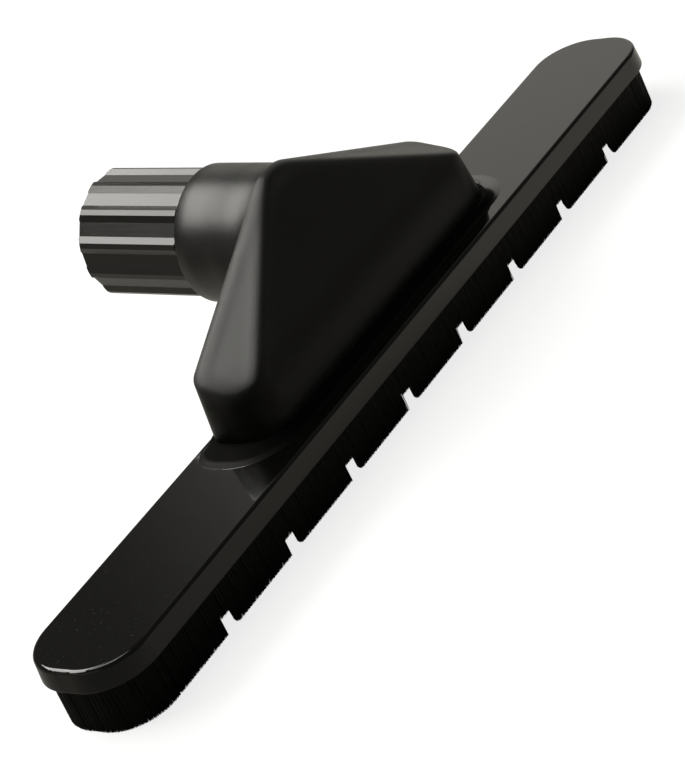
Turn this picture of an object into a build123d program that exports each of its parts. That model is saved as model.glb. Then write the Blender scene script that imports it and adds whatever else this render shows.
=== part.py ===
from build123d import *
import math
import os

os.makedirs("parts", exist_ok=True)

# Every size is in millimetres. X runs along the nozzle, +Y points out of the neck, Z is up.
# While modelling, the origin is under the middle of the plate, at the bristle tips.

# Plate: a long rounded plate with a rim turned down all round.
plate_length = 355.0
plate_width = 42.7
plate_end_flat = 6.7
rim_height = 7.85
rim_draft = 0.76
rim_edge_r = 0.5
plate_edge_r = 1.3
plate_thickness = 2.6
rim_wall = 1.7
bristle_free = 16.3
plate_top_z = bristle_free + rim_height
plate_under_z = plate_top_z - plate_thickness

# Groove under the plate that takes the brush strips.
channel_width = 4.0
strip_clearance = 0.1
groove_wall = 1.5
groove_wall_depth = 4.4

# Brush strips: a folded steel channel, the filament pack and a wire through the fold.
channel_height = 5.0
channel_sheet = 0.5
core_wire_r = 0.6
strip_end_reach = 20.5
strip_joint_gap = 0.3
bristle_tip_r = 1.0
bristle_splay = 0.5

# Notches cut in the bristles so that grit can get in.
notch_count = 8
notch_end_margin = 28.1
notch_width = 4.8
notch_height = 5.7

# Seat for the hood on the plate: a low pad that flares out wide at its two ends.
# Each outline of the flare has its height, how far it passes the hood's sides, and how much more its ends.
seat_height = 2.4
seat_margin = 1.6
seat_flare = [(-0.12, 4.0, 7.0), (0.45, 2.9, 4.4), (seat_height, seat_margin, 0.0)]
seat_corner_share = 0.25
locating_rib = 1.4
locating_rib_height = 2.6
locating_clearance = 0.15
slot_end_gap = 21.5
slot_front_y = -6.0
slot_rear_y = 10.0
slot_corner_r = 6.0

# Hood. Its heights are measured from the top of the plate. The lean's run is how far it goes back for
# each unit that it rises, and the roof's is how far it falls for each unit towards the front.
hood_half_length = 73.5
hood_front_y = -11.2
hood_rear_y = 15.2
hood_front_corner_r = 14.0
hood_rear_corner_r = 5.0
hood_wall = 2.4
hood_draft = 7.2
brow_height = 17.6
brow_round_r = 30.0
lean_run = 0.523
roof_height = 58.0
roof_half_flat = 5.0
roof_round_r = 14.0
roof_end_height = 22.243
roof_forward_slope = 0.29
roof_edge_r = 2.0
tangent_skin = 0.03

# Neck on the back of the hood. Its axis leaves the hood's back at a height over the plate and tilts up.
# Places along the neck and the cuff are measured on that axis, from the hood's back.
neck_r = 23.2
neck_wall = 2.8
neck_height = 32.3
neck_tilt = 3.7
neck_length = 31.7
neck_root = 2.4
neck_edge_r = 1.2
neck_stop_r = 18.9
neck_stop_length = 2.0

# Screws from below into bosses inside the hood. Each place is its distance from the hood's end, and its y.
screw_places = [(12.0, -1.5), (8.5, 7.6)]
screw_head_r = 3.2
screw_head_height = 2.0
screw_recess_width = 0.9
screw_recess_length = 3.4
screw_recess_depth = 1.1
screw_shank_r = 1.5
screw_length = 11.0
screw_point = 2.0
screw_hole_clearance = 0.3
counterbore_r = 3.5
counterbore_depth = 2.2
boss_r = 3.3
boss_height = 11.0
boss_rib = 1.6
boss_rib_gap = 0.4

# Stiffening ribs across the underside of the plate.
plate_rib = 1.5
plate_rib_depth = 3.2
plate_rib_count = 3

# Cuff: a ribbed sleeve pushed into the neck.
cuff_out_length = 43.7
cuff_in_length = 16.0
cuff_bore_r = 19.05
cuff_flat_r = 20.3
cuff_rib_r = 21.9
cuff_rib_count = 12
cuff_rib_top = 1.9
cuff_rib_flank = 40.0
cuff_rib_phase = -9.5
cuff_rib_gap = 0.9
cuff_rib_chamfer = 1.0
cuff_stop_r = 17.7
cuff_stop_length = 1.5
cuff_mouth_chamfer = 0.6

# Measures that follow from the sizes above.
slope = math.tan(math.radians(hood_draft))
roof_side_slope = (roof_height - roof_end_height) / (hood_half_length - roof_half_flat)
plate_corner_r = (plate_width - plate_end_flat) / 2
strip_half_length = plate_length / 2 - strip_end_reach
notch_pitch = 2 * (strip_half_length - notch_end_margin) / (notch_count - 1)
slot_half_length = hood_half_length - slot_end_gap
groove_outer = rim_wall
groove_width = channel_width + strip_clearance
strip_inset = groove_outer + strip_clearance / 2
bristle_thickness = channel_width - 2 * channel_sheet
neck_bore_r = neck_r - neck_wall
neck_frame = Pos(0, hood_rear_y, plate_top_z + neck_height) * Rot(neck_tilt - 90, 0, 0)
cuff_start = neck_length - cuff_in_length
cuff_end = neck_length + cuff_out_length
rise = math.radians(neck_tilt)
cuff_end_r = cuff_rib_r - cuff_rib_chamfer
rear_y = hood_rear_y + cuff_end * math.cos(rise) + cuff_end_r * math.sin(rise)
middle_y = (rear_y - plate_width / 2) / 2
beyond = 200.0
past = 1.0
clear_of_hood = 5.0
roof_normal_z = 0.7


def plate_outline(inset, z):
    """The rounded outline of the plate, drawn in by an inset."""
    corner = plate_corner_r - inset
    return Pos(0, 0, z) * RectangleRounded(plate_length - 2 * inset, plate_width - 2 * inset, corner)


def plate_block(inset, low, high):
    return extrude(plate_outline(inset, low), high - low)


def plate_ring(inset, width, low, high):
    return plate_block(inset, low, high) - plate_block(inset + width, low, high)


def hood_plan(inset, z, end_reach=0.0):
    """The hood's plan outline at the seat, drawn in by an inset and lengthened at its ends."""
    front = hood_front_y + inset
    rear = hood_rear_y - inset
    length = 2 * (hood_half_length - inset + end_reach)
    softer = end_reach * seat_corner_share - inset
    plan = Pos(0, (front + rear) / 2) * Rectangle(length, rear - front)
    rows = plan.vertices().group_by(Axis.Y)
    plan = fillet(rows[0], hood_front_corner_r + softer)
    rows = plan.vertices().group_by(Axis.Y)
    plan = fillet(rows[-1], hood_rear_corner_r + softer)
    return Pos(0, 0, z) * plan


def hood_walls(inset, low):
    """Drafted end and front walls round a straight back, with rounded corners."""
    grow = slope * (seat_height - low)
    half = hood_half_length - inset + grow
    front = hood_front_y + inset - grow
    plan = Pos(0, (front + beyond) / 2) * Rectangle(2 * half, beyond - front)
    plan = fillet(plan.vertices().group_by(Axis.Y)[0], hood_front_corner_r - inset + grow)
    block = extrude(Pos(0, 0, plate_top_z + low) * plan, roof_height + clear_of_hood - low, taper=hood_draft)
    back = hood_rear_y - inset
    block = block & (Pos(0, back - beyond, plate_top_z) * Box(2 * beyond, 2 * beyond, 2 * beyond))
    corners = [edge for edge in block.edges() if is_back_corner(edge, back)]
    return fillet(corners, hood_rear_corner_r - inset)


def is_back_corner(edge, back):
    size = edge.bounding_box().size
    return abs(edge.center().Y - back) < 0.01 and size.Z > 3 * size.X


def lean_form(inset):
    """The side view: a front wall that bends at the brow and leans back above it."""
    brow_y = hood_front_y - tangent_skin + slope * (brow_height - seat_height)
    low_y = hood_front_y - tangent_skin - slope * (beyond / 4 + seat_height)
    back_y = hood_rear_y + clear_of_hood
    points = [
        (low_y, -beyond / 4),
        (brow_y, brow_height),
        (back_y, brow_height + (back_y - brow_y) / lean_run),
        (back_y, -beyond / 4),
    ]
    side = make_face(Polyline(*points, close=True))
    brow = side.vertices().sort_by_distance((brow_y, brow_height))[0]
    side = fillet(brow, brow_round_r)
    if inset:
        side = offset(side, -inset, kind=Kind.INTERSECTION)
    return Pos(-beyond / 2, 0, plate_top_z) * extrude(Plane.YZ * side, beyond)


def roof_form(inset):
    """The front view: two facets that meet in a narrow rounded top, tipped towards the front."""
    side = beyond / 2
    low = roof_height - (side - roof_half_flat) * roof_side_slope
    points = [
        (-side, -beyond),
        (side, -beyond),
        (side, low),
        (roof_half_flat, roof_height),
        (-roof_half_flat, roof_height),
        (-side, low),
    ]
    front = make_face(Polyline(*points, close=True))
    tops = [corner for corner in front.vertices() if abs(corner.X) < side / 2]
    front = fillet(tops, roof_round_r)
    if inset:
        front = offset(front, -inset, kind=Kind.INTERSECTION)
    run = beyond / 4
    profile = Pos(0, hood_rear_y - run, plate_top_z - run * roof_forward_slope) * (Plane.XZ * front)
    step = Vector(0, 1, roof_forward_slope)
    return extrude(profile, amount=step.length * 2 * run, dir=step.normalized())


def hood_form(inset, low):
    return hood_walls(inset, low) & lean_form(inset) & roof_form(inset)


def along_neck(radius, start, end):
    """A round bar on the neck's axis."""
    bar = Cylinder(radius, end - start, align=(Align.CENTER, Align.CENTER, Align.MIN))
    return neck_frame * Pos(0, 0, start) * bar


def along_neck_cone(start_r, end_r, start, end):
    bar = Cone(start_r, end_r, end - start, align=(Align.CENTER, Align.CENTER, Align.MIN))
    return neck_frame * Pos(0, 0, start) * bar


def upright(radius, x, y, low, high):
    bar = Cylinder(radius, high - low, align=(Align.CENTER, Align.CENTER, Align.MIN))
    return Pos(x, y, low) * bar


def block_between(x_low, x_high, y_low, y_high, z_low, z_high):
    centre = Pos((x_low + x_high) / 2, (y_low + y_high) / 2, (z_low + z_high) / 2)
    return centre * Box(x_high - x_low, y_high - y_low, z_high - z_low)


def roof_rim(form):
    """The edges all round the roof, where it meets the walls, the leaning face and the back."""
    uses = {}
    for face in form.faces():
        if face.normal_at().Z > roof_normal_z:
            for edge in face.edges():
                uses[edge] = uses.get(edge, 0) + 1
    return [edge for edge, count in uses.items() if count == 1]


def save(part, name):
    part = Pos(0, -middle_y, 0) * part
    part.label = name
    export_step(part, "parts/" + name + ".step")
    solids = part.solids()
    print(name, len(solids), "solid(s)", round(sum(solid.volume for solid in solids) / 1000, 2), "cm3")


screw_points = []
for end_gap, place_y in screw_places:
    for side in (-1, 1):
        screw_points.append((side * (hood_half_length - end_gap), place_y))

# Plate. A drafted block is hollowed from below, then the strip groove's inner wall is put back.
sides = loft([plate_outline(0, bristle_free), plate_outline(rim_draft, plate_top_z)])
plate = fillet(sides.edges().group_by(Axis.Z)[-1], plate_edge_r)
plate = fillet(plate.edges().group_by(Axis.Z)[0], rim_edge_r)
plate -= plate_block(rim_wall, 0, plate_under_z)
wall_low = plate_under_z - groove_wall_depth
plate += plate_ring(groove_outer + groove_width, groove_wall, wall_low, plate_under_z)

rib_reach = plate_width / 2 - groove_outer - groove_width - groove_wall / 2
rib_pitch = (plate_length / 2 - plate_corner_r - hood_half_length) / (plate_rib_count + 1)
for count in range(plate_rib_count):
    rib_x = hood_half_length + (count + 1) * rib_pitch
    for side in (-1, 1):
        near = side * rib_x - plate_rib / 2
        low = plate_under_z - plate_rib_depth
        plate += block_between(near, near + plate_rib, -rib_reach, rib_reach, low, plate_under_z)

# Seat: a low flared pad that carries the hood, and a rib that centres the hood.
seat_z = plate_top_z + seat_height
plate += loft([hood_plan(-side, plate_top_z + height, end) for height, side, end in seat_flare])
lip_inset = hood_wall + slope * locating_rib_height + locating_clearance
lip_height = seat_height + locating_rib_height
lip = extrude(hood_plan(lip_inset, plate_top_z), lip_height)
lip -= extrude(hood_plan(lip_inset + locating_rib, plate_top_z), lip_height)
plate += lip

# Suction slot through the plate.
slot_middle_y = (slot_front_y + slot_rear_y) / 2
slot = RectangleRounded(2 * slot_half_length, slot_rear_y - slot_front_y, slot_corner_r)
plate -= extrude(Pos(0, slot_middle_y, wall_low - past) * slot, seat_z + 2 * past - wall_low)

# Screw holes, sunk from below.
head_seat_z = plate_under_z + counterbore_depth
for x, y in screw_points:
    plate -= upright(screw_shank_r + screw_hole_clearance, x, y, 0, seat_z + past)
    plate -= upright(counterbore_r, x, y, 0, head_seat_z)
save(plate, "base_plate")

# Hood: the outer form with its round neck, hollowed from below and along the neck.
hood = hood_form(0, seat_height)
hood = fillet(roof_rim(hood), roof_edge_r)
neck = along_neck(neck_r, -neck_root, neck_length)
neck = fillet(neck.edges().sort_by(Axis.Y)[-1], neck_edge_r)
hood += neck
hollow = hood_form(hood_wall, -seat_height)
throat = along_neck(neck_bore_r, -hood_rear_y, neck_root) & lean_form(hood_wall) & roof_form(hood_wall)
hood -= hollow
hood -= throat
hood -= along_neck(neck_bore_r, -neck_root, neck_length + past)
stop_start = cuff_start - neck_stop_length
stop = along_neck(neck_r - neck_wall / 2, stop_start, cuff_start)
hood += stop - along_neck(neck_stop_r, stop_start - past, cuff_start + past)

# Screw bosses, each tied to the nearest wall by a rib.
boss_top = seat_z + boss_height
rib_low = plate_top_z + lip_height + boss_rib_gap
inside = hood_form(hood_wall / 2, seat_height)
for x, y in screw_points:
    side = math.copysign(1, x)
    hood += upright(boss_r, x, y, seat_z, boss_top)
    if y < 0:
        rib = block_between(x - boss_rib / 2, x + boss_rib / 2, hood_front_y, y, rib_low, boss_top)
    else:
        near, far = sorted((x, side * hood_half_length))
        rib = block_between(near, far, y - boss_rib / 2, y + boss_rib / 2, rib_low, boss_top)
    hood += rib & inside
for x, y in screw_points:
    hood -= upright(screw_shank_r, x, y, seat_z - past, head_seat_z + screw_length)
save(hood, "hood")

# Screws: pan heads with a cross recess.
screws = []
for x, y in screw_points:
    head = upright(screw_head_r, x, y, head_seat_z - screw_head_height, head_seat_z)
    head = fillet(head.edges().group_by(Axis.Z)[0], screw_head_height / 2)
    low = head_seat_z - screw_head_height - past
    high = head_seat_z - screw_head_height + screw_recess_depth
    long = screw_recess_length / 2
    thin = screw_recess_width / 2
    head -= block_between(x - long, x + long, y - thin, y + thin, low, high)
    head -= block_between(x - thin, x + thin, y - long, y + long, low, high)
    shank_top = head_seat_z + screw_length - screw_point
    shank = upright(screw_shank_r, x, y, head_seat_z, shank_top)
    tip = Cone(screw_shank_r, 0.2, screw_point, align=(Align.CENTER, Align.CENTER, Align.MIN))
    screws.append(head + shank + Pos(x, y, shank_top) * tip)
save(Compound(children=screws), "hood_screws")

# Cuff: a plain spigot in the neck, then a sleeve with twelve flats and a rib on each corner between them.
rib_start = neck_length + cuff_rib_gap
flats = RegularPolygon(cuff_flat_r, cuff_rib_count, major_radius=False, rotation=cuff_rib_phase)
section = Sketch() + flats
rib_foot = (cuff_flat_r + cuff_bore_r) / 2
rib_half = cuff_rib_top / 2
rib_foot_half = rib_half + (cuff_rib_r - rib_foot) / math.tan(math.radians(cuff_rib_flank))
rib = make_face(
    Polyline(
        (-rib_foot_half, rib_foot),
        (rib_foot_half, rib_foot),
        (rib_half, cuff_rib_r),
        (-rib_half, cuff_rib_r),
        close=True,
    )
)
for count in range(cuff_rib_count):
    section += Rot(0, 0, cuff_rib_phase + count * 360 / cuff_rib_count) * rib
sleeve = neck_frame * Pos(0, 0, rib_start) * extrude(section, cuff_end - rib_start)
taper_start = cuff_end - cuff_rib_chamfer - past
limit = along_neck(cuff_rib_r + past, rib_start, taper_start)
limit += along_neck_cone(cuff_rib_r + past, cuff_end_r, taper_start, cuff_end)
cuff = along_neck(neck_bore_r, cuff_start, rib_start) + (sleeve & limit)
cuff -= along_neck(cuff_bore_r, cuff_start + cuff_stop_length, cuff_end + past)
cuff -= along_neck(cuff_stop_r, cuff_start - past, cuff_end)
mouth = cuff_mouth_chamfer
cuff -= along_neck_cone(cuff_bore_r, cuff_bore_r + mouth, cuff_end - mouth, cuff_end)
save(cuff, "cuff")

# Brush: one bent ring of strip under the rim, cut into two long strips and two ends.
channel_low = plate_under_z - channel_height
channel_roof = plate_under_z - channel_sheet
channel_ring = plate_ring(strip_inset, channel_width, channel_low, plate_under_z)
channel_ring -= plate_ring(strip_inset + channel_sheet, bristle_thickness, channel_low, channel_roof)

wire_z = channel_roof - 2 * core_wire_r
wire_path = plate_outline(strip_inset + channel_width / 2, wire_z).wires()[0]
wire_start = Plane(wire_path.position_at(0), z_dir=wire_path.tangent_at(0))
wire_ring = sweep(wire_start * Circle(core_wire_r), path=wire_path)

pack_inset = strip_inset + channel_sheet
back_inset = pack_inset + bristle_thickness
flare_outer = loft([plate_outline(pack_inset - bristle_splay, 0), plate_outline(pack_inset, channel_low)])
flare_inner = loft([plate_outline(back_inset - bristle_splay / 2, 0), plate_outline(back_inset, channel_low)])
bristle_ring = flare_outer - flare_inner
bristle_ring = fillet(bristle_ring.edges().group_by(Axis.Z)[0], bristle_tip_r)
bristle_ring += plate_ring(pack_inset, bristle_thickness, channel_low, channel_roof)
bristle_ring -= wire_ring
for count in range(notch_count):
    x = (count - (notch_count - 1) / 2) * notch_pitch
    half = notch_width / 2
    bristle_ring -= block_between(x - half, x + half, -plate_width, plate_width, -1, notch_height)

straight = strip_half_length - strip_joint_gap / 2
ends = strip_half_length + strip_joint_gap / 2
quarters = {
    "front": block_between(-straight, straight, -plate_width, 0, -1, plate_top_z),
    "rear": block_between(-straight, straight, 0, plate_width, -1, plate_top_z),
    "left_end": block_between(-plate_length, -ends, -plate_width, plate_width, -1, plate_top_z),
    "right_end": block_between(ends, plate_length, -plate_width, plate_width, -1, plate_top_z),
}
for place, region in quarters.items():
    save(bristle_ring & region, place + "_bristles")
    save(channel_ring & region, place + "_channel")
    save(wire_ring & region, place + "_core_wire")
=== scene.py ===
# %% [markdown]
# # A floor brush nozzle
# The object is a long hard-floor brush for a vacuum wand: a glossy rounded plate with a bristle skirt
# under it, a satin hood on top and a ribbed cuff behind. The rigid mouldings come ready shaped from the
# CAD part, so this file gives them their finishes, makes the bristles filament by filament, and sets up
# the camera and the studio.

# %% Load the part
import math
import random

import bpy
from mathutils import Matrix, Vector


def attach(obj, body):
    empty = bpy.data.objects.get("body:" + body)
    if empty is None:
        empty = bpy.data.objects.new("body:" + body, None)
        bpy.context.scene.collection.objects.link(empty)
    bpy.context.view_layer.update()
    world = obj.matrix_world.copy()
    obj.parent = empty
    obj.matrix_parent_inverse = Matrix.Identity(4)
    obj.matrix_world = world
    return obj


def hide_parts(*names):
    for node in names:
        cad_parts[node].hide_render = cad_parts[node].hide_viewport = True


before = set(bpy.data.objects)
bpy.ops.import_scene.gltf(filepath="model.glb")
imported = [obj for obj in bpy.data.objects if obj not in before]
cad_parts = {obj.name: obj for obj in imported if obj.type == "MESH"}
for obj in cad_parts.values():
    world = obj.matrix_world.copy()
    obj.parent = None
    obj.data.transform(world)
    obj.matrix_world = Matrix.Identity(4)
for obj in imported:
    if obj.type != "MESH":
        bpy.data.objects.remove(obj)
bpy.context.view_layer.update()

print("nodes", sorted(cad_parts))

# %% [markdown]
# ## The camera
# The photograph looks down on the nozzle from its front left, and the picture is turned so that the plate
# climbs from the lower left to the upper right. The camera is built from those angles: one for the side
# that it stands on, one for how steeply it looks down, and one for the turn of the picture.

# %% Camera
PLATE_MIDDLE_Y = -0.035221
PLATE_TOP_Z = 0.02415
TURN = math.radians(44.997)
DIP = math.radians(27.543)
ROLL = math.radians(25.218)
DISTANCE = 0.844036
AIM_RIGHT = 0.007798
AIM_UP = 0.023345
FOCAL_IN_PIXELS = 2568.87
PICTURE_HEIGHT = 768
SENSOR = 36.0
CLIP_START = 0.05

forward = Vector((math.sin(TURN) * math.cos(DIP), math.cos(TURN) * math.cos(DIP), -math.sin(DIP)))
level_right = Vector((math.cos(TURN), -math.sin(TURN), 0.0))
level_up = level_right.cross(forward)
right = math.cos(ROLL) * level_right - math.sin(ROLL) * level_up
up = math.sin(ROLL) * level_right + math.cos(ROLL) * level_up
plate_top = Vector((0.0, PLATE_MIDDLE_Y, PLATE_TOP_Z))
eye = plate_top - forward * DISTANCE - right * AIM_RIGHT - up * AIM_UP

lens = bpy.data.cameras.new("camera")
lens.sensor_width = SENSOR
lens.lens = FOCAL_IN_PIXELS * SENSOR / PICTURE_HEIGHT
lens.clip_start = CLIP_START
camera = bpy.data.objects.new("camera", lens)
camera.matrix_world = Matrix.Translation(eye) @ Matrix((right, up, -forward)).transposed().to_4x4()
bpy.context.scene.collection.objects.link(camera)
bpy.context.scene.camera = camera
bpy.context.scene.view_settings.view_transform = "Standard"
print("camera at", tuple(round(value, 3) for value in eye), "lens", round(lens.lens, 1))

# %% [markdown]
# ## A helper for node materials
# A material is a small network of nodes. Wiring it by hand takes many lines, so two classes stand in for
# the mouse. `Wire` is one output socket, and sums written on it add Math nodes. `Finish` is one material,
# and its `add` method makes any node: its kind, its settings, and what goes into its sockets.

# %% Node helper
class Wire:
    """One output socket, on which sums can be written."""

    def __init__(self, finish, socket):
        self.finish = finish
        self.socket = socket

    def maths(self, operation, first, second=0.0):
        return self.finish.add("ShaderNodeMath", {"operation": operation}, {0: first, 1: second})

    def __add__(self, other):
        return self.maths("ADD", self, other)

    def __sub__(self, other):
        return self.maths("SUBTRACT", self, other)

    def __rsub__(self, other):
        return self.maths("SUBTRACT", other, self)

    def __mul__(self, other):
        return self.maths("MULTIPLY", self, other)

    def between(self, low, high):
        """Nought below the low value, one above the high one, and a soft step from one to the other."""
        inputs = {"Value": self, "From Min": low, "From Max": high}
        return self.finish.add("ShaderNodeMapRange", {"interpolation_type": "SMOOTHSTEP"}, inputs)

    def window(self, start, full, fading, end):
        """Nought before the start and after the end, and one between full and fading."""
        return self.between(start, full) * (1 - self.between(fading, end))

    __radd__ = __add__
    __rmul__ = __mul__


class Finish:
    """One node material, or the nodes of the world."""

    def __init__(self, name, tree=None):
        if tree is None:
            self.material = bpy.data.materials.new(name)
            self.material.use_nodes = True
            tree = self.material.node_tree
        self.tree = tree
        self.tree.nodes.clear()

    def add(self, kind, settings=None, inputs=None, output=0):
        node = self.tree.nodes.new(kind)
        for name, value in (settings or {}).items():
            setattr(node, name, value)
        for name, value in (inputs or {}).items():
            if isinstance(value, Wire):
                self.tree.links.new(value.socket, node.inputs[name])
            else:
                node.inputs[name].default_value = value
        return Wire(self, node.outputs[output]) if node.outputs else node

    def place(self, scale=(1.0, 1.0, 1.0)):
        """The piece's own coordinates in metres, stretched by a scale."""
        spot = self.add("ShaderNodeTexCoord", output=3)
        return self.add("ShaderNodeMapping", {}, {"Vector": spot, "Scale": scale})

    def facing(self):
        """The way that the surface faces."""
        return self.add("ShaderNodeNewGeometry", output=1)

    def part(self, vector, axis):
        """The X, Y or Z of a vector."""
        return self.add("ShaderNodeSeparateXYZ", {}, {0: vector}, output="XYZ".index(axis))

    def noise(self, vector, scale, detail=2.0, roughness=0.5):
        inputs = {"Vector": vector, "Scale": scale, "Detail": detail, "Roughness": roughness}
        return self.add("ShaderNodeTexNoise", {}, inputs)

    def blend(self, factor, first, second):
        """A colour between two others."""
        inputs = {0: factor, 6: first, 7: second}
        return self.add("ShaderNodeMix", {"data_type": "RGBA"}, inputs, output=2)

    def softened(self, radius, samples):
        """The normal as it would be with every corner rounded to the radius."""
        return self.add("ShaderNodeBevel", {"samples": samples}, {"Radius": radius})

    def edges(self, radius, low, high):
        """One on edges sharper than the radius and nought on flats."""
        inputs = {0: self.facing(), 1: self.softened(radius, 6)}
        same = self.add("ShaderNodeVectorMath", {"operation": "DOT_PRODUCT"}, inputs, output=1)
        return (1 - same).between(low, high)

    def bump(self, height, distance, strength=1.0, normal=None):
        inputs = {"Height": height, "Distance": distance, "Strength": strength}
        if normal is not None:
            inputs["Normal"] = normal
        return self.add("ShaderNodeBump", {}, inputs)

    def surface(self, inputs):
        shader = self.add("ShaderNodeBsdfPrincipled", {}, inputs)
        self.add("ShaderNodeOutputMaterial", {}, {"Surface": shader})
        return self.material


def colour(red, green, blue):
    return (red, green, blue, 1.0)


print("node helper ready")

# %% [markdown]
# ## The plate's gloss
# The plate is black plastic from a polished mould, so it mirrors the room. A perfect mirror looks false:
# a real one has hairline scratches along its length from wiping, a little settled dust, and a thin grey
# line where its corners have rubbed. Each is a mask made from noise, and they change the roughness and
# the colour a little. The faint waves of the moulding go into the normal.
#
# The low seat on which the hood stands is duller and darker in the photograph, apart from its right end.
# A mask on the height finds the seat, and a mask on the way that its faces point leaves that end out. The
# seat is plastic like the rest, but it gets a metallic near-black here, a painted shade, because that has
# almost no reflection. It is a trick for this view, and other ways would need another light.

# %% Gloss black for the plate
PLASTIC_IOR = 1.5
PLATE_BLACK = colour(0.0022, 0.0021, 0.0018)
PLATE_DUST = colour(0.014, 0.0136, 0.0125)
PLATE_RUBBED = colour(0.05, 0.048, 0.044)
WIPED_ALONG = (30.0, 900.0, 300.0)
WIPED_ACROSS = (700.0, 60.0, 300.0)
SCRATCH_CUT = (0.66, 0.74)
CROSS_SCRATCH_CUT = (0.70, 0.77)
DUST_SCALE = 1300.0
DUST_CUT = (0.70, 0.78)
PLATE_PATCH_SCALE = 40.0
PLATE_EDGE_R = 0.0005
EDGE_CUT = (0.02, 0.2)
PLATE_RUB_SCALE = 350.0
PLATE_RUB_CUT = (0.4, 0.7)
PLATE_ROUGH = 0.06
WAVE_SCALE = 60.0
WAVE_DEPTH = 0.00004
SCRATCH_DEPTH = 0.000002

# %% The seat's mask and the plate's finish
SEAT_FROM = (PLATE_TOP_Z + 0.000002, PLATE_TOP_Z + 0.00005)
SEAT_UPPER_FROM = (PLATE_TOP_Z + 0.00035, PLATE_TOP_Z + 0.0008)
FACES_RIGHT = (0.04, 0.14)
FACES_AHEAD = (0.3, 0.5)
SEAT_ROUGH = 0.36
SEAT_UPPER_ROUGH = 0.35
SEAT_SHADE_METALLIC = 0.94


def gloss_black():
    finish = Finish("gloss_black")
    spot = finish.place()
    along = finish.place(WIPED_ALONG)
    across = finish.place(WIPED_ACROSS)
    scratches = finish.noise(along, 1.0, 3.0).between(*SCRATCH_CUT)
    cross_scratches = finish.noise(across, 1.0, 2.0).between(*CROSS_SCRATCH_CUT)
    dust = finish.noise(spot, DUST_SCALE, 1.0).between(*DUST_CUT)
    patches = finish.noise(spot, PLATE_PATCH_SCALE, 3.0)
    rubbed = finish.noise(spot, PLATE_RUB_SCALE, 3.0).between(*PLATE_RUB_CUT)
    worn = finish.edges(PLATE_EDGE_R, *EDGE_CUT) * rubbed
    height = finish.part(spot, "Z")
    outward = finish.facing()
    ahead = finish.part(outward, "Y") * -1.0
    right_end = finish.part(outward, "X").between(*FACES_RIGHT)
    right_end = right_end * (1 - ahead.between(*FACES_AHEAD))
    seat = height.between(*SEAT_FROM) * (1 - right_end)
    upper = height.between(*SEAT_UPPER_FROM)
    base = finish.blend(dust * 0.35, PLATE_BLACK, PLATE_DUST)
    base = finish.blend(worn * 0.6, base, PLATE_RUBBED)
    rough = PLATE_ROUGH + patches * 0.03 + scratches * 0.06 + cross_scratches * 0.04
    rough = rough + dust * 0.15 + worn * 0.15
    rough = rough + seat * SEAT_ROUGH + seat * upper * SEAT_UPPER_ROUGH
    # Painted shade: the seat, but for its right end, is made a metallic near-black that reflects almost
    # nothing.
    metallic = seat * SEAT_SHADE_METALLIC
    waves = finish.noise(spot, WAVE_SCALE, 2.0)
    lines = scratches * -1.0 + cross_scratches * -0.6
    normal = finish.bump(waves, WAVE_DEPTH)
    normal = finish.bump(lines, SCRATCH_DEPTH, 1.0, normal)
    looks = {"Base Color": base, "Roughness": rough, "IOR": PLASTIC_IOR}
    return finish.surface({**looks, "Metallic": metallic, "Normal": normal})


# %% [markdown]
# ## The hood's satin
# The hood comes from a mould with an etched surface, which breaks up the light: a soft broad sheen with no
# mirror image. Fine noise in a Bump node gives that grain, and slow noise in the roughness gives the
# cloudy patches that handling leaves. Corners are polished by wear, so they are a little smoother there.
#
# The sheen runs softly over the real hood's corners. A Bevel node rounds them in the shading alone, more
# than the solid does. A band at the foot is painted shade: the metallic near-black that the seat has is
# used there too, though the hood is all plastic.

# %% Satin black for the hood
SATIN_BLACK = colour(0.0045, 0.0043, 0.0037)
SATIN_PALER = colour(0.0075, 0.0072, 0.0062)
HOOD_RUBBED = colour(0.045, 0.044, 0.041)
GRAIN_SCALE = 3200.0
GRAIN_DEPTH = 0.00002
HOOD_PATCH_SCALE = 45.0
SMEAR_STRETCH = (90.0, 40.0, 25.0)
HOOD_EDGE_R = 0.0012
HOOD_EDGE_CUT = (0.01, 0.12)
HOOD_RUB_SCALE = 400.0
HOOD_RUB_CUT = (0.35, 0.65)
HOOD_ROUGH = 0.29
SOFT_CORNER_R = 0.008
SHADED_FOOT_BAND = [PLATE_TOP_Z + rise for rise in (0.003, 0.008, 0.014, 0.026)]
FOOT_SHADE_METALLIC = 0.75


def satin_black():
    finish = Finish("satin_black")
    spot = finish.place()
    grain = finish.noise(spot, GRAIN_SCALE, 2.0)
    patches = finish.noise(spot, HOOD_PATCH_SCALE, 4.0, 0.6)
    smears = finish.noise(finish.place(SMEAR_STRETCH), 1.0, 3.0)
    rubbed = finish.noise(spot, HOOD_RUB_SCALE, 3.0).between(*HOOD_RUB_CUT)
    worn = finish.edges(HOOD_EDGE_R, *HOOD_EDGE_CUT) * rubbed
    base = finish.blend(patches, SATIN_BLACK, SATIN_PALER)
    base = finish.blend(worn * 0.35, base, HOOD_RUBBED)
    rough = HOOD_ROUGH + patches * 0.07 + smears * 0.05 - worn * 0.04
    normal = finish.bump(grain, GRAIN_DEPTH, 0.7, finish.softened(SOFT_CORNER_R, 10))
    # Painted shade: a metallic near-black band round the foot of the hood, where it meets the seat.
    metallic = finish.part(spot, "Z").window(*SHADED_FOOT_BAND) * FOOT_SHADE_METALLIC
    looks = {"Base Color": base, "Roughness": rough, "IOR": PLASTIC_IOR}
    return finish.surface({**looks, "Metallic": metallic, "Normal": normal})


# %% [markdown]
# ## The cuff's half gloss
# The cuff is taken as a softer plastic, drawn out of its mould along its length, so its faint marks run
# the same way as the ribs. The noise is stretched along Y, which is the way the cuff points, and it moves
# only the roughness and a very shallow bump. The ribs' crests are rubbed by hands.

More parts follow.
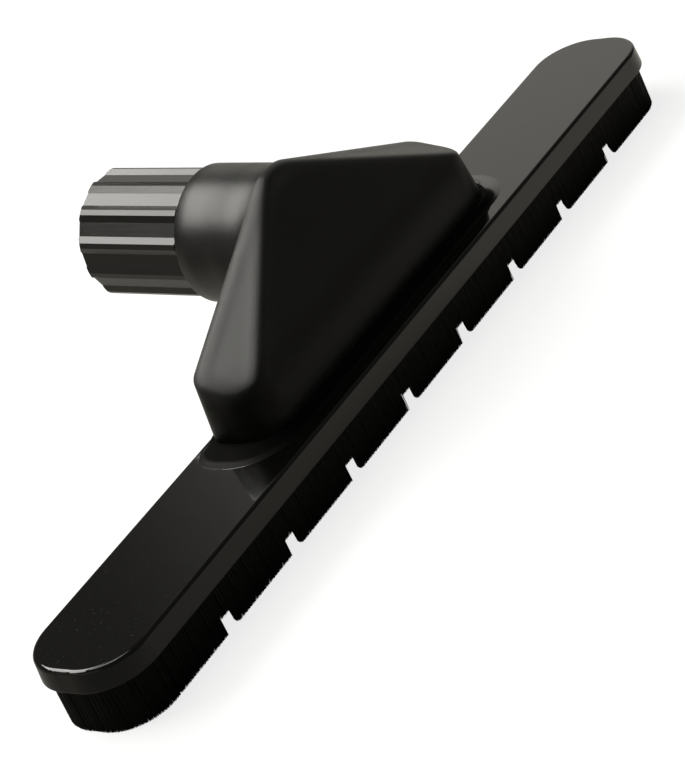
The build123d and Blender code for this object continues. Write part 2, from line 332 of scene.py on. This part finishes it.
# %% Half-gloss black for the cuff
CUFF_RUBBED = colour(0.05, 0.049, 0.046)
DRAWN_STRETCH = (1400.0, 25.0, 1400.0)
DRAWN_DEPTH = 0.000012
CUFF_PATCH_SCALE = 70.0
CUFF_EDGE_R = 0.0006
CUFF_RUB_SCALE = 500.0
CUFF_RUB_CUT = (0.4, 0.65)
CUFF_ROUGH = 0.16


def half_gloss_black():
    finish = Finish("half_gloss_black")
    spot = finish.place()
    drawn = finish.noise(finish.place(DRAWN_STRETCH), 1.0, 2.0)
    patches = finish.noise(spot, CUFF_PATCH_SCALE, 3.0)
    rubbed = finish.noise(spot, CUFF_RUB_SCALE, 2.0).between(*CUFF_RUB_CUT)
    worn = finish.edges(CUFF_EDGE_R, *EDGE_CUT) * rubbed
    base = finish.blend(patches, SATIN_BLACK, SATIN_PALER)
    base = finish.blend(worn * 0.5, base, CUFF_RUBBED)
    rough = CUFF_ROUGH + drawn * 0.08 + patches * 0.04 + worn * 0.05
    normal = finish.bump(drawn, DRAWN_DEPTH, 0.8)
    return finish.surface({"Base Color": base, "Roughness": rough, "IOR": PLASTIC_IOR, "Normal": normal})


# %% [markdown]
# ## The bristles' nylon
# The filaments are black nylon with a dull shine, a little paler at the tips where the floor has worn
# them. Noise stretched along Z gives each strand and each clump its own tone.

# %% Nylon for the filaments
NYLON_BLACK = colour(0.0015, 0.0014, 0.0011)
NYLON_PALER = colour(0.0040, 0.0038, 0.0032)
NYLON_TIP = colour(0.02, 0.019, 0.017)
NYLON_SHINE = 0.22
NYLON_ROUGH = 0.42
STRAND_STRETCH = (2600.0, 2600.0, 60.0)
CLUMP_STRETCH = (260.0, 260.0, 12.0)
WORN_TIP = 0.0035


def black_nylon():
    finish = Finish("black_nylon")
    height = finish.part(finish.place(), "Z")
    strands = finish.noise(finish.place(STRAND_STRETCH), 1.0, 1.0)
    clumps = finish.noise(finish.place(CLUMP_STRETCH), 1.0, 2.0)
    tips = 1 - height.between(0.0, WORN_TIP)
    base = finish.blend(strands, NYLON_BLACK, NYLON_PALER)
    base = finish.blend(tips * 0.4 * clumps, base, NYLON_TIP)
    rough = NYLON_ROUGH + strands * 0.18 + tips * 0.1
    looks = {"Base Color": base, "Roughness": rough, "IOR": PLASTIC_IOR}
    return finish.surface({**looks, "Specular IOR Level": NYLON_SHINE})


# %% [markdown]
# ## Steel strips, screws and wire
# The folded strips are taken as galvanised, and their zinc grows in flat crystals, which Voronoi cells
# copy well. The screws are plated, with a fine grain and brighter edges. The wire is bright, with marks
# that are drawn out along X, the way that its two long runs lie.

# %% Strip, screw and wire finishes
ZINC_DARK = colour(0.42, 0.43, 0.44)
ZINC_PALE = colour(0.60, 0.61, 0.62)
ZINC_STAIN = colour(0.30, 0.28, 0.25)
CRYSTAL_SCALE = 420.0
STAIN_SCALE = 120.0
STAIN_CUT = (0.55, 0.75)
ZINC_ROUGH = 0.30
PLATING_DARK = colour(0.52, 0.51, 0.47)
PLATING_PALE = colour(0.64, 0.64, 0.63)
PLATING_EDGE = colour(0.75, 0.75, 0.74)
MOTTLE_SCALE = 900.0
SCREW_EDGE_R = 0.0003
SCREW_GRAIN_SCALE = 5200.0
SCREW_GRAIN_DEPTH = 0.000004
SCREW_ROUGH = 0.24
WIRE_DARK = colour(0.50, 0.50, 0.49)
WIRE_PALE = colour(0.66, 0.66, 0.65)
WIRE_STRETCH = (40.0, 2500.0, 2500.0)
WIRE_ROUGH = 0.22


def galvanised():
    finish = Finish("galvanised")
    spot = finish.place()
    cells = {"Vector": spot, "Scale": CRYSTAL_SCALE}
    crystals = finish.add("ShaderNodeTexVoronoi", {}, cells, output=1)
    tone = finish.add("ShaderNodeSeparateColor", {}, {0: crystals})
    stains = finish.noise(spot, STAIN_SCALE, 4.0).between(*STAIN_CUT)
    base = finish.blend(tone, ZINC_DARK, ZINC_PALE)
    base = finish.blend(stains * 0.5, base, ZINC_STAIN)
    rough = ZINC_ROUGH + tone * 0.15 + stains * 0.2
    return finish.surface({"Base Color": base, "Metallic": 1.0, "Roughness": rough})


def plated_screw():
    finish = Finish("plated_screw")
    spot = finish.place()
    mottle = finish.noise(spot, MOTTLE_SCALE, 3.0)
    worn = finish.edges(SCREW_EDGE_R, *EDGE_CUT)
    base = finish.blend(mottle, PLATING_DARK, PLATING_PALE)
    base = finish.blend(worn * 0.6, base, PLATING_EDGE)
    rough = SCREW_ROUGH + mottle * 0.16
    normal = finish.bump(finish.noise(spot, SCREW_GRAIN_SCALE, 1.0), SCREW_GRAIN_DEPTH, 0.6)
    return finish.surface({"Base Color": base, "Metallic": 1.0, "Roughness": rough, "Normal": normal})


def bright_wire():
    finish = Finish("bright_wire")
    drawn = finish.noise(finish.place(WIRE_STRETCH), 1.0, 2.0)
    base = finish.blend(drawn, WIRE_DARK, WIRE_PALE)
    rough = WIRE_ROUGH + drawn * 0.12
    return finish.surface({"Base Color": base, "Metallic": 1.0, "Roughness": rough})


# %% Dress the CAD nodes
def dress(node, material):
    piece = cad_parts[node]
    for slot in piece.material_slots:
        slot.material = material
    print(node, "gets", material.name)


PLACES = ("front", "rear", "left_end", "right_end")
strip_finish = galvanised()
wire_finish = bright_wire()
dress("base_plate", gloss_black())
dress("hood", satin_black())
dress("cuff", half_gloss_black())
dress("hood_screws", plated_screw())
for place in PLACES:
    dress(place + "_channel", strip_finish)
    dress(place + "_core_wire", wire_finish)

# %% [markdown]
# ## One filament
# The skirt is thousands of nylon filaments. One is modelled by hand: a thin four-sided cylinder, pinched
# at the tip, where cutting the brush to length has rounded it. Four sides are enough, because a filament
# is about as thin as one pixel of the photograph.

# %% Model one filament
FILAMENT_R = 0.00016
FILAMENT_TOP_Z = 0.0195
FILAMENT_SIDES = 4
TIP_PINCH = 0.7
TIP_ZONE = 0.0001


def clear_selection():
    if bpy.context.mode != "OBJECT":
        bpy.ops.object.mode_set(mode="OBJECT")
    bpy.ops.object.select_all(action="DESELECT")


def make_active(*pieces):
    clear_selection()
    for piece in pieces:
        piece.select_set(True)
    bpy.context.view_layer.objects.active = pieces[0]


def select_points(piece, wanted):
    """Select in edit mode the points for which the test is true."""
    make_active(piece)
    bpy.ops.object.mode_set(mode="EDIT")
    bpy.ops.mesh.select_mode(type="VERT")
    bpy.ops.mesh.select_all(action="DESELECT")
    bpy.ops.object.mode_set(mode="OBJECT")
    for point in piece.data.vertices:
        point.select = wanted(point.co)
    bpy.ops.object.mode_set(mode="EDIT")


def new_filament():
    clear_selection()
    middle = (0, 0, FILAMENT_TOP_Z / 2)
    bpy.ops.mesh.primitive_cylinder_add(
        vertices=FILAMENT_SIDES, radius=FILAMENT_R, depth=FILAMENT_TOP_Z, location=middle
    )
    piece = bpy.context.object
    piece.name = "filament"
    bpy.ops.object.transform_apply(location=True)
    select_points(piece, lambda point: point.z < TIP_ZONE)
    bpy.ops.transform.resize(value=(TIP_PINCH, TIP_PINCH, 1))
    bpy.ops.object.mode_set(mode="OBJECT")
    return piece


filament = new_filament()
print("one filament has", len(filament.data.polygons), "faces")

# %% [markdown]
# ## Tufts and rows
# A tuft is ten layers of eight filaments, each a little out of its place and turned by chance, and it is
# as thick as the pack in the strip. Its layers fan apart towards the tips, and the whole tuft leans a
# little outwards. Four different tufts are enough to hide the repeat. An Array modifier lays them side by
# side along the straight strips, and a Curve modifier bends such a row round each end of the plate.

# %% Make the tufts
SEED = 29
TUFT_PITCH = 0.002
TUFT_KINDS = 4
TUFT_LAYERS = 10
TUFT_COLUMNS = 8
LAYER_PLAY = (0.2, 0.8)
PACK_HALF = 0.00142
LEAN_SPREAD = 0.0225
LEAN_OUT = 0.0075
LEAN_RANDOM = 0.002
FLOOR_GAP = 0.00005
TIP_UNEVEN = 0.00006

random.seed(SEED)


def new_tuft(number):
    copies = []
    for count in range(TUFT_LAYERS * TUFT_COLUMNS):
        copy = filament.copy()
        copy.data = filament.data.copy()
        bpy.context.collection.objects.link(copy)
        layer, column = divmod(count, TUFT_COLUMNS)
        across = ((layer + random.uniform(*LAYER_PLAY)) / TUFT_LAYERS * 2 - 1) * PACK_HALF
        along = (column + random.random()) / TUFT_COLUMNS * TUFT_PITCH
        lean = across / PACK_HALF * LEAN_SPREAD - LEAN_OUT + random.gauss(0, LEAN_RANDOM)
        turn = Matrix.Rotation(lean, 4, "X") @ Matrix.Rotation(random.gauss(0, LEAN_RANDOM), 4, "Y")
        turn = turn @ Matrix.Rotation(random.uniform(0, math.pi / 2), 4, "Z")
        root = Matrix.Translation((0, 0, FILAMENT_TOP_Z))
        lift = Matrix.Translation((along, across, FLOOR_GAP + random.random() * TIP_UNEVEN))
        copy.matrix_world = lift @ root @ turn @ root.inverted()
        copies.append(copy)
    make_active(*copies)
    bpy.ops.object.join()
    tuft = bpy.context.object
    bpy.ops.object.transform_apply(location=True, rotation=True, scale=True)
    tuft.name = "tuft_" + str(number)
    return tuft


tufts = [new_tuft(number) for number in range(TUFT_KINDS)]
print("tufts of", len(tufts[0].data.polygons), "faces")

# %% Lay the tufts in a row
STRIP_HALF = 0.15685


def new_row(name, length):
    """A straight row of tufts from nought along X, squeezed to fit its length."""
    parts = []
    count = math.ceil(length / TUFT_PITCH / TUFT_KINDS)
    for number, tuft in enumerate(tufts):
        part = tuft.copy()
        part.data = tuft.data.copy()
        bpy.context.collection.objects.link(part)
        part.location.x = number * TUFT_PITCH
        repeat = part.modifiers.new("repeat", "ARRAY")
        repeat.count = count
        repeat.use_relative_offset = False
        repeat.use_constant_offset = True
        repeat.constant_offset_displace = (TUFT_KINDS * TUFT_PITCH, 0, 0)
        make_active(part)
        bpy.ops.object.modifier_apply(modifier="repeat")
        parts.append(part)
    make_active(*parts)
    bpy.ops.object.join()
    row = bpy.context.object
    row.name = name
    bpy.ops.object.transform_apply(location=True, rotation=True, scale=True)
    squeeze = (length - FILAMENT_R) / (count * TUFT_KINDS * TUFT_PITCH)
    select_points(row, lambda point: True)
    bpy.ops.transform.resize(value=(squeeze, 1, 1), center_override=(0, 0, 0))
    bpy.ops.object.mode_set(mode="OBJECT")
    return row


front_row = new_row("front_filaments", 2 * STRIP_HALF)
print(front_row.name, len(front_row.data.polygons), "faces")

# %% [markdown]
# ## The notches
# Eight square gates are cut in the front and rear rows, so that grit passes under the plate. On the real
# brush the filaments are simply trimmed shorter there. Here the tips that stand in a gate are selected and
# pulled up, which shortens each filament and keeps its end closed.
#
# In the photograph the left side of a gate is square and sharp. Its right side slants away into the pack,
# so that the gate is wider inside, and the corner below it is rounded. That corner is made of narrow
# strips of filaments, each pulled up by its own step of an arc. The rear row is the front one turned round.

# %% Place the straight rows
STRIP_MIDDLE = 0.0176


def move_mesh(piece, offset):
    select_points(piece, lambda point: True)
    bpy.ops.transform.translate(value=offset)
    bpy.ops.object.mode_set(mode="OBJECT")


def turn_copy(piece, name):
    """A copy turned half round about the middle of the plate, with its own mesh."""
    copy = piece.copy()
    copy.data = piece.data.copy()
    copy.name = name
    bpy.context.collection.objects.link(copy)
    select_points(copy, lambda point: True)
    middle = (0, PLATE_MIDDLE_Y, 0)
    bpy.ops.transform.rotate(value=math.pi, orient_axis="Z", center_override=middle)
    bpy.ops.object.mode_set(mode="OBJECT")
    return copy


move_mesh(front_row, (-STRIP_HALF, PLATE_MIDDLE_Y - STRIP_MIDDLE, 0))
print("front row starts at", tuple(round(value, 4) for value in front_row.data.vertices[0].co))

# %% Trim the notches
NOTCH_COUNT = 8
NOTCH_PITCH = 0.03683
NOTCH_HALF = 0.0024
NOTCH_HEIGHT = 0.0057
CORNER_R = 0.0024
CORNER_STEPS = 8
UNTRIMMED_BELOW = FILAMENT_TOP_Z / 4
OUTER_FACE = PLATE_MIDDLE_Y - STRIP_MIDDLE - PACK_HALF
notch_places = [(count - (NOTCH_COUNT - 1) / 2) * NOTCH_PITCH for count in range(NOTCH_COUNT)]


def pull_up(row, start, end, lift):
    """Shorten the filaments from a start to an end, measured along X from the right side of a gate."""

    def chosen(point):
        depth = max(0.0, point.y - OUTER_FACE)
        ahead = min((point.x - place for place in notch_places), key=abs) - NOTCH_HALF - depth
        widened = start - depth if start < 0 else start
        return point.z < UNTRIMMED_BELOW and widened < ahead < end

    select_points(row, chosen)
    bpy.ops.transform.translate(value=(0, 0, lift))
    bpy.ops.object.mode_set(mode="OBJECT")


pull_up(front_row, -2 * NOTCH_HALF, 0.0, NOTCH_HEIGHT)
for step in range(CORNER_STEPS):
    start, end = (CORNER_R * edge / CORNER_STEPS for edge in (step, step + 1))
    inward = CORNER_R - (start + end) / 2
    pull_up(front_row, start, end, CORNER_R - math.sqrt(CORNER_R ** 2 - inward ** 2))
rear_row = turn_copy(front_row, "rear_filaments")
print("gates at", [round(place, 4) for place in notch_places])

# %% [markdown]
# ## The ends
# Round each end of the plate the strip follows two quarter circles. A Bezier curve with handles of the
# usual 0.5523 of the radius is a circle to the eye, and the Curve modifier carries a straight row along it.

# %% Bend a row round the end
END_X = 0.17375
END_START_X = 0.15715
END_CORNER_R = 0.01425
CIRCLE_HANDLE = 0.5523
CURVE_STEPS = 24


def end_path():
    """The middle of the strip round the right end, from the front to the rear."""
    reach = END_CORNER_R * CIRCLE_HANDLE
    turn_x = END_X - END_CORNER_R
    turn_y = STRIP_MIDDLE - END_CORNER_R
    # On a straight stretch a handle lies on the line, so a third of the way is as good as any length.
    small = (turn_x - END_START_X) / 3
    points = [
        ((END_START_X, -STRIP_MIDDLE), (-small, 0), (small, 0)),
        ((turn_x, -STRIP_MIDDLE), (-small, 0), (reach, 0)),
        ((END_X, -turn_y), (0, -reach), (0, turn_y / 3)),
        ((END_X, turn_y), (0, -turn_y / 3), (0, reach)),
        ((turn_x, STRIP_MIDDLE), (reach, 0), (-small, 0)),
        ((END_START_X, STRIP_MIDDLE), (small, 0), (-small, 0)),
    ]
    shape = bpy.data.curves.new("end_path", "CURVE")
    shape.dimensions = "2D"
    shape.resolution_u = CURVE_STEPS
    line = shape.splines.new("BEZIER")
    line.bezier_points.add(len(points) - 1)
    for knot, (spot, back, ahead) in zip(line.bezier_points, points):
        here = Vector((spot[0], spot[1] + PLATE_MIDDLE_Y, 0))
        knot.co = here
        knot.handle_left = here + Vector((*back, 0))
        knot.handle_right = here + Vector((*ahead, 0))
    path = bpy.data.objects.new("end_path", shape)
    bpy.context.collection.objects.link(path)
    return path, line.calc_length()


path, path_length = end_path()
right_row = new_row("right_end_filaments", path_length)
bend = right_row.modifiers.new("bend", "CURVE")
bend.object = path
bend.deform_axis = "POS_X"
make_active(right_row)
bpy.ops.object.modifier_apply(modifier="bend")
left_row = turn_copy(right_row, "left_end_filaments")
for spare in (path, filament, *tufts):
    bpy.data.objects.remove(spare)
print("end row of", len(right_row.data.polygons), "faces,", round(path_length * 1000, 1), "mm long")

# %% Finish the filaments and hand them over
nylon = black_nylon()
rows = {"front": front_row, "rear": rear_row, "left_end": left_row, "right_end": right_row}
for place, row in rows.items():
    row.data.materials.clear()
    row.data.materials.append(nylon)
    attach(row, "root")
    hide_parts(place + "_bristles")
    print(row.name, len(row.data.polygons), "faces")
clear_selection()

# %% [markdown]
# ## The studio
# The photograph shows the nozzle on plain white. A floor that is only lit would need so much light that
# the black plastic turned grey. So the floor glows for the camera alone, and a pale colour of its own adds
# the rest. That keeps the soft shadow under the brush.
#
# What the plastic mirrors is another floor, one without a glow. Its colour is painted light and shade:
# dim on the left and far away and paler near the nozzle on the right, because the rims and the skirt show
# it so.

# %% Floor
FLOOR_HALF = 4.0
FLOOR_GLOW = 0.80
FLOOR_SEEN = 0.28
PAINTED_FLOOR_SHADE = colour(0.16, 0.157, 0.145)
PAINTED_FLOOR_LIGHT = colour(0.62, 0.61, 0.57)
PAINTED_LIGHT_FROM = (-0.3, 0.15)
PAINTED_SHADE_BEYOND = (0.6, 1.5)
WHITE = colour(1, 1, 1)


def floor_finish():
    finish = Finish("pale_floor")
    camera_ray = finish.add("ShaderNodeLightPath", output=0)
    glow = finish.add("ShaderNodeEmission", {}, {"Color": WHITE, "Strength": FLOOR_GLOW})
    thin = finish.add("ShaderNodeBsdfDiffuse", {}, {"Color": colour(FLOOR_SEEN, FLOOR_SEEN, FLOOR_SEEN)})
    seen = finish.add("ShaderNodeAddShader", {}, {0: thin, 1: glow})
    spot = finish.place()
    # Painted light and shade: the floor that reflections see is paler on the right near the nozzle and dim
    # to the left and far off.
    side = finish.part(spot, "X").between(*PAINTED_LIGHT_FROM)
    away = finish.add("ShaderNodeVectorMath", {"operation": "LENGTH"}, {0: spot}, output=1)
    tone = finish.blend(side * (1 - away.between(*PAINTED_SHADE_BEYOND)), PAINTED_FLOOR_SHADE, PAINTED_FLOOR_LIGHT)
    paint = finish.add("ShaderNodeBsdfDiffuse", {}, {"Color": tone})
    both = finish.add("ShaderNodeMixShader", {}, {0: camera_ray, 1: paint, 2: seen})
    finish.add("ShaderNodeOutputMaterial", {}, {"Surface": both})
    return finish.material


bpy.ops.mesh.primitive_plane_add(size=2 * FLOOR_HALF, location=(0, 0, 0))
floor = bpy.context.object
floor.name = "floor"
floor.data.materials.append(floor_finish())
print("floor", tuple(floor.dimensions))

# %% [markdown]
# ## The room
# Black gloss shows the room more than its own colour, so the room is what has to be right. The photograph
# shows a soft panel behind and above, a dim band of room under it, and a dark room in front. So the world
# is a dim room with a brighter wall on the right and a faint patch at the rear left. Each is a window on
# two angles: how far round from the rear it lies, and how high. The camera's own rays see plain white.

# %% Room
ROOM_LEVEL = 0.10
ROOM_TINT = colour(1.0, 0.975, 0.90)
RIGHT_WALL_ROUND = (36.5, 50, 76, 96)
RIGHT_WALL_RISE = (-20, 22, 34, 46)
RIGHT_WALL_LEVEL = 0.72
REAR_LEFT_ROUND = (-120, -90, -50, -30)
REAR_LEFT_RISE = (-30, 0, 14, 40)
REAR_LEFT_LEVEL = 0.25
DEGREE = math.pi / 180

world = bpy.data.worlds.new("room")
world.use_nodes = True
bpy.context.scene.world = world
room = Finish("room", world.node_tree)
way = room.add("ShaderNodeTexCoord", output=0)
way_x, way_y, way_z = (room.part(way, axis) for axis in "XYZ")
azimuth = way_x.maths("ARCTAN2", way_x, way_y) * (1 / DEGREE)
rise = way_z.maths("ARCSINE", way_z) * (1 / DEGREE)
right_wall = azimuth.window(*RIGHT_WALL_ROUND) * rise.window(*RIGHT_WALL_RISE) * RIGHT_WALL_LEVEL
rear_left = azimuth.window(*REAR_LEFT_ROUND) * rise.window(*REAR_LEFT_RISE) * REAR_LEFT_LEVEL
level = ROOM_LEVEL + right_wall + rear_left
seen = room.add("ShaderNodeLightPath", output=0)
strength = level.maths("MAXIMUM", level, seen)
tint = room.blend(seen, ROOM_TINT, WHITE)
backdrop = room.add("ShaderNodeBackground", {}, {"Color": tint, "Strength": strength})
room.add("ShaderNodeOutputWorld", {}, {"Surface": backdrop})
print("room of", len(world.node_tree.nodes), "nodes")

# %% [markdown]
# ## The lamps
# Two area lamps are the soft panels. The key panel stands behind the nozzle and well above it, and the
# other hangs almost overhead. Their strength is given for each square metre of panel, so a larger panel
# doesn't look brighter in a mirror, and only sends more light.

# %% Lamps
LAMP_TINT = (1.0, 0.985, 0.94)
LAMP_AIM_Z = 0.03


def lamp(name, azimuth, elevation, distance, width, height, strength):
    """A soft panel that faces the nozzle. The azimuth is measured from +Y towards +X."""
    light = bpy.data.lights.new(name, "AREA")
    light.shape = "RECTANGLE"
    light.size = width
    light.size_y = height
    light.energy = strength * width * height * math.pi
    light.color = LAMP_TINT
    panel = bpy.data.objects.new(name, light)
    bpy.context.scene.collection.objects.link(panel)
    turn, rise = math.radians(azimuth), math.radians(elevation)
    away = Vector((math.sin(turn) * math.cos(rise), math.cos(turn) * math.cos(rise), math.sin(rise)))
    panel.location = Vector((0, 0, LAMP_AIM_Z)) + away * distance
    panel.rotation_euler = away.to_track_quat("Z", "Y").to_euler()
    print(name, tuple(round(value, 2) for value in panel.location))


lamp("key_panel", azimuth=-11, elevation=49, distance=1.5, width=1.6, height=0.6, strength=8.0)
lamp("top_panel", azimuth=-20, elevation=77, distance=1.8, width=0.9, height=0.9, strength=3.4)
